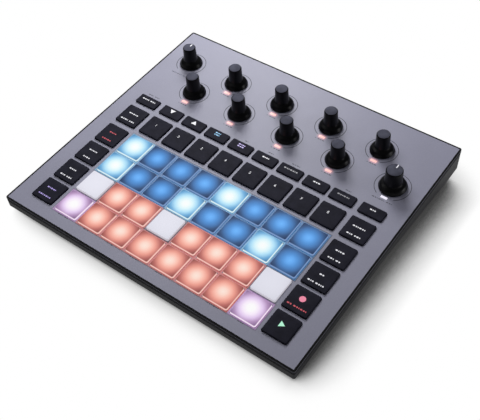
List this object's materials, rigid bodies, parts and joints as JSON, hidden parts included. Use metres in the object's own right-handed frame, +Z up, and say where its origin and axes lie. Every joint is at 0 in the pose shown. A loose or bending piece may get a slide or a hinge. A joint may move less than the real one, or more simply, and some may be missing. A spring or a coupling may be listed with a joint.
{
  "type": "drum machine",
  "caption": "Table-top drum machine with a tilted panel: lit square pads, dark buttons that press in, turning knobs, and jack sockets along the back.",
  "frame": {"origin": "on the table under the centre of the bounding box", "axes": "+X to the player's right, +Y to the back, +Z up; the panel tilts up towards the back by 4.8 degrees"},
  "size_m": [0.24, 0.2096, 0.045],
  "materials": {
    "panel_paint": "fine matt lavender grey",
    "case_plastic": "moulded matt black",
    "foot_rubber": "matt",
    "screw_steel": "blackened",
    "mat_rubber": "translucent silicone",
    "circuit_board": "solder mask",
    "control_metal": "plated",
    "light_window": "clear, lit",
    "battery_foil": "foil",
    "socket_plastic": "moulded",
    "port_metal": "plated",
    "button_rubber": "matt silicone",
    "knob_rubber": "soft matt",
    "pad_cyan": "lit from inside",
    "pad_blue": "lit from inside",
    "pad_white": "unlit silicone",
    "pad_orange": "lit from inside",
    "pad_lavender": "lit from inside"
  },
  "bodies": {
    "case": {"top_panel": "panel_paint", "lower_case": "case_plastic", "rubber_feet": "foot_rubber", "case_screws": "screw_steel", "keymat": "mat_rubber", "control_board": "circuit_board", "encoders": "control_metal", "led_windows": "light_window", "main_board": "circuit_board", "battery": "battery_foil", "jack_sockets": "socket_plastic", "port_sockets": "port_metal"},
    "volume_knob": {"volume_knob": "knob_rubber"},
    "filter_knob": {"filter_knob": "knob_rubber"},
    "upper_buttons": {"upper_buttons": "button_rubber"},
    "track_buttons": {"track_buttons": "button_rubber"},
    "left_buttons": {"left_buttons": "button_rubber"},
    "right_buttons": {"right_buttons": "button_rubber"},
    "power_button": {"power_button": "button_rubber"},
    "pad_1_1": {"pad_1_1": "pad_lavender"},
    "pad_1_2": {"pad_1_2": "pad_orange"},
    "pad_1_3": {"pad_1_3": "pad_orange"},
    "pad_1_4": {"pad_1_4": "pad_orange"},
    "pad_1_5": {"pad_1_5": "pad_orange"},
    "pad_1_6": {"pad_1_6": "pad_orange"},
    "pad_1_7": {"pad_1_7": "pad_orange"},
    "pad_1_8": {"pad_1_8": "pad_lavender"},
    "pad_2_1": {"pad_2_1": "pad_white"},
    "pad_2_2": {"pad_2_2": "pad_orange"},
    "pad_2_3": {"pad_2_3": "pad_orange"},
    "pad_2_4": {"pad_2_4": "pad_white"},
    "pad_2_5": {"pad_2_5": "pad_orange"},
    "pad_2_6": {"pad_2_6": "pad_orange"},
    "pad_2_7": {"pad_2_7": "pad_orange"},
    "pad_2_8": {"pad_2_8": "pad_white"},
    "pad_3_1": {"pad_3_1": "pad_cyan"},
    "pad_3_2": {"pad_3_2": "pad_blue"},
    "pad_3_3": {"pad_3_3": "pad_blue"},
    "pad_3_4": {"pad_3_4": "pad_cyan"},
    "pad_3_5": {"pad_3_5": "pad_blue"},
    "pad_3_6": {"pad_3_6": "pad_blue"},
    "pad_3_7": {"pad_3_7": "pad_cyan"},
    "pad_3_8": {"pad_3_8": "pad_blue"},
    "pad_4_1": {"pad_4_1": "pad_cyan"},
    "pad_4_2": {"pad_4_2": "pad_blue"},
    "pad_4_3": {"pad_4_3": "pad_blue"},
    "pad_4_4": {"pad_4_4": "pad_blue"},
    "pad_4_5": {"pad_4_5": "pad_cyan"},
    "pad_4_6": {"pad_4_6": "pad_blue"},
    "pad_4_7": {"pad_4_7": "pad_blue"},
    "pad_4_8": {"pad_4_8": "pad_blue"},
    "macro_knob_1": {"macro_knob_1": "knob_rubber"},
    "macro_knob_2": {"macro_knob_2": "knob_rubber"},
    "macro_knob_3": {"macro_knob_3": "knob_rubber"},
    "macro_knob_4": {"macro_knob_4": "knob_rubber"},
    "macro_knob_5": {"macro_knob_5": "knob_rubber"},
    "macro_knob_6": {"macro_knob_6": "knob_rubber"},
    "macro_knob_7": {"macro_knob_7": "knob_rubber"},
    "macro_knob_8": {"macro_knob_8": "knob_rubber"}
  },
  "joints": [
    {"name": "volume_turn", "type": "hinge", "parent": "case", "child": "volume_knob", "pos_m": [-0.0969, 0.07311, 0.02834], "axis": [0, -0.0837, 0.9965], "range_deg": [-150, 150]},
    {"name": "filter_turn", "type": "hinge", "parent": "case", "child": "filter_knob", "pos_m": [0.0969, 0.0483, 0.02625], "axis": [0, -0.0837, 0.9965], "range_deg": [-150, 150]},
    {"name": "upper_press", "type": "slide", "parent": "case", "child": "upper_buttons", "axis": [0, 0.0837, -0.9965], "range_m": [0, 0.0009], "stiffness_N_per_m": 1500},
    {"name": "track_press", "type": "slide", "parent": "case", "child": "track_buttons", "axis": [0, 0.0837, -0.9965], "range_m": [0, 0.0009], "stiffness_N_per_m": 1500},
    {"name": "left_press", "type": "slide", "parent": "case", "child": "left_buttons", "axis": [0, 0.0837, -0.9965], "range_m": [0, 0.0009], "stiffness_N_per_m": 1500},
    {"name": "right_press", "type": "slide", "parent": "case", "child": "right_buttons", "axis": [0, 0.0837, -0.9965], "range_m": [0, 0.0009], "stiffness_N_per_m": 1500},
    {"name": "power_press", "type": "slide", "parent": "case", "child": "power_button", "axis": [0, -1, 0], "range_m": [0, 0.001], "stiffness_N_per_m": 1500},
    {"name": "pad_press_1_1", "type": "slide", "parent": "case", "child": "pad_1_1", "axis": [0, 0.0837, -0.9965], "range_m": [0, 0.0006], "stiffness_N_per_m": 2500},
    {"name": "pad_press_1_2", "type": "slide", "parent": "case", "child": "pad_1_2", "axis": [0, 0.0837, -0.9965], "range_m": [0, 0.0006], "stiffness_N_per_m": 2500},
    {"name": "pad_press_1_3", "type": "slide", "parent": "case", "child": "pad_1_3", "axis": [0, 0.0837, -0.9965], "range_m": [0, 0.0006], "stiffness_N_per_m": 2500},
    {"name": "pad_press_1_4", "type": "slide", "parent": "case", "child": "pad_1_4", "axis": [0, 0.0837, -0.9965], "range_m": [0, 0.0006], "stiffness_N_per_m": 2500},
    {"name": "pad_press_1_5", "type": "slide", "parent": "case", "child": "pad_1_5", "axis": [0, 0.0837, -0.9965], "range_m": [0, 0.0006], "stiffness_N_per_m": 2500},
    {"name": "pad_press_1_6", "type": "slide", "parent": "case", "child": "pad_1_6", "axis": [0, 0.0837, -0.9965], "range_m": [0, 0.0006], "stiffness_N_per_m": 2500},
    {"name": "pad_press_1_7", "type": "slide", "parent": "case", "child": "pad_1_7", "axis": [0, 0.0837, -0.9965], "range_m": [0, 0.0006], "stiffness_N_per_m": 2500},
    {"name": "pad_press_1_8", "type": "slide", "parent": "case", "child": "pad_1_8", "axis": [0, 0.0837, -0.9965], "range_m": [0, 0.0006], "stiffness_N_per_m": 2500},
    {"name": "pad_press_2_1", "type": "slide", "parent": "case", "child": "pad_2_1", "axis": [0, 0.0837, -0.9965], "range_m": [0, 0.0006], "stiffness_N_per_m": 2500},
    {"name": "pad_press_2_2", "type": "slide", "parent": "case", "child": "pad_2_2", "axis": [0, 0.0837, -0.9965], "range_m": [0, 0.0006], "stiffness_N_per_m": 2500},
    {"name": "pad_press_2_3", "type": "slide", "parent": "case", "child": "pad_2_3", "axis": [0, 0.0837, -0.9965], "range_m": [0, 0.0006], "stiffness_N_per_m": 2500},
    {"name": "pad_press_2_4", "type": "slide", "parent": "case", "child": "pad_2_4", "axis": [0, 0.0837, -0.9965], "range_m": [0, 0.0006], "stiffness_N_per_m": 2500},
    {"name": "pad_press_2_5", "type": "slide", "parent": "case", "child": "pad_2_5", "axis": [0, 0.0837, -0.9965], "range_m": [0, 0.0006], "stiffness_N_per_m": 2500},
    {"name": "pad_press_2_6", "type": "slide", "parent": "case", "child": "pad_2_6", "axis": [0, 0.0837, -0.9965], "range_m": [0, 0.0006], "stiffness_N_per_m": 2500},
    {"name": "pad_press_2_7", "type": "slide", "parent": "case", "child": "pad_2_7", "axis": [0, 0.0837, -0.9965], "range_m": [0, 0.0006], "stiffness_N_per_m": 2500},
    {"name": "pad_press_2_8", "type": "slide", "parent": "case", "child": "pad_2_8", "axis": [0, 0.0837, -0.9965], "range_m": [0, 0.0006], "stiffness_N_per_m": 2500},
    {"name": "pad_press_3_1", "type": "slide", "parent": "case", "child": "pad_3_1", "axis": [0, 0.0837, -0.9965], "range_m": [0, 0.0006], "stiffness_N_per_m": 2500},
    {"name": "pad_press_3_2", "type": "slide", "parent": "case", "child": "pad_3_2", "axis": [0, 0.0837, -0.9965], "range_m": [0, 0.0006], "stiffness_N_per_m": 2500},
    {"name": "pad_press_3_3", "type": "slide", "parent": "case", "child": "pad_3_3", "axis": [0, 0.0837, -0.9965], "range_m": [0, 0.0006], "stiffness_N_per_m": 2500},
    {"name": "pad_press_3_4", "type": "slide", "parent": "case", "child": "pad_3_4", "axis": [0, 0.0837, -0.9965], "range_m": [0, 0.0006], "stiffness_N_per_m": 2500},
    {"name": "pad_press_3_5", "type": "slide", "parent": "case", "child": "pad_3_5", "axis": [0, 0.0837, -0.9965], "range_m": [0, 0.0006], "stiffness_N_per_m": 2500},
    {"name": "pad_press_3_6", "type": "slide", "parent": "case", "child": "pad_3_6", "axis": [0, 0.0837, -0.9965], "range_m": [0, 0.0006], "stiffness_N_per_m": 2500},
    {"name": "pad_press_3_7", "type": "slide", "parent": "case", "child": "pad_3_7", "axis": [0, 0.0837, -0.9965], "range_m": [0, 0.0006], "stiffness_N_per_m": 2500},
    {"name": "pad_press_3_8", "type": "slide", "parent": "case", "child": "pad_3_8", "axis": [0, 0.0837, -0.9965], "range_m": [0, 0.0006], "stiffness_N_per_m": 2500},
    {"name": "pad_press_4_1", "type": "slide", "parent": "case", "child": "pad_4_1", "axis": [0, 0.0837, -0.9965], "range_m": [0, 0.0006], "stiffness_N_per_m": 2500},
    {"name": "pad_press_4_2", "type": "slide", "parent": "case", "child": "pad_4_2", "axis": [0, 0.0837, -0.9965], "range_m": [0, 0.0006], "stiffness_N_per_m": 2500},
    {"name": "pad_press_4_3", "type": "slide", "parent": "case", "child": "pad_4_3", "axis": [0, 0.0837, -0.9965], "range_m": [0, 0.0006], "stiffness_N_per_m": 2500},
    {"name": "pad_press_4_4", "type": "slide", "parent": "case", "child": "pad_4_4", "axis": [0, 0.0837, -0.9965], "range_m": [0, 0.0006], "stiffness_N_per_m": 2500},
    {"name": "pad_press_4_5", "type": "slide", "parent": "case", "child": "pad_4_5", "axis": [0, 0.0837, -0.9965], "range_m": [0, 0.0006], "stiffness_N_per_m": 2500},
    {"name": "pad_press_4_6", "type": "slide", "parent": "case", "child": "pad_4_6", "axis": [0, 0.0837, -0.9965], "range_m": [0, 0.0006], "stiffness_N_per_m": 2500},
    {"name": "pad_press_4_7", "type": "slide", "parent": "case", "child": "pad_4_7", "axis": [0, 0.0837, -0.9965], "range_m": [0, 0.0006], "stiffness_N_per_m": 2500},
    {"name": "pad_press_4_8", "type": "slide", "parent": "case", "child": "pad_4_8", "axis": [0, 0.0837, -0.9965], "range_m": [0, 0.0006], "stiffness_N_per_m": 2500},
    {"name": "macro_turn_1", "type": "hinge", "parent": "case", "child": "macro_knob_1", "pos_m": [-0.0742, 0.0483, 0.02625], "axis": [0, -0.0837, 0.9965], "continuous": true},
    {"name": "macro_turn_2", "type": "hinge", "parent": "case", "child": "macro_knob_2", "pos_m": [-0.053, 0.07311, 0.02834], "axis": [0, -0.0837, 0.9965], "continuous": true},
    {"name": "macro_turn_3", "type": "hinge", "parent": "case", "child": "macro_knob_3", "pos_m": [-0.0318, 0.0483, 0.02625], "axis": [0, -0.0837, 0.9965], "continuous": true},
    {"name": "macro_turn_4", "type": "hinge", "parent": "case", "child": "macro_knob_4", "pos_m": [-0.0106, 0.07311, 0.02834], "axis": [0, -0.0837, 0.9965], "continuous": true},
    {"name": "macro_turn_5", "type": "hinge", "parent": "case", "child": "macro_knob_5", "pos_m": [0.0106, 0.0483, 0.02625], "axis": [0, -0.0837, 0.9965], "continuous": true},
    {"name": "macro_turn_6", "type": "hinge", "parent": "case", "child": "macro_knob_6", "pos_m": [0.0318, 0.07311, 0.02834], "axis": [0, -0.0837, 0.9965], "continuous": true},
    {"name": "macro_turn_7", "type": "hinge", "parent": "case", "child": "macro_knob_7", "pos_m": [0.053, 0.0483, 0.02625], "axis": [0, -0.0837, 0.9965], "continuous": true},
    {"name": "macro_turn_8", "type": "hinge", "parent": "case", "child": "macro_knob_8", "pos_m": [0.0742, 0.07311, 0.02834], "axis": [0, -0.0837, 0.9965], "continuous": true}
  ]
}
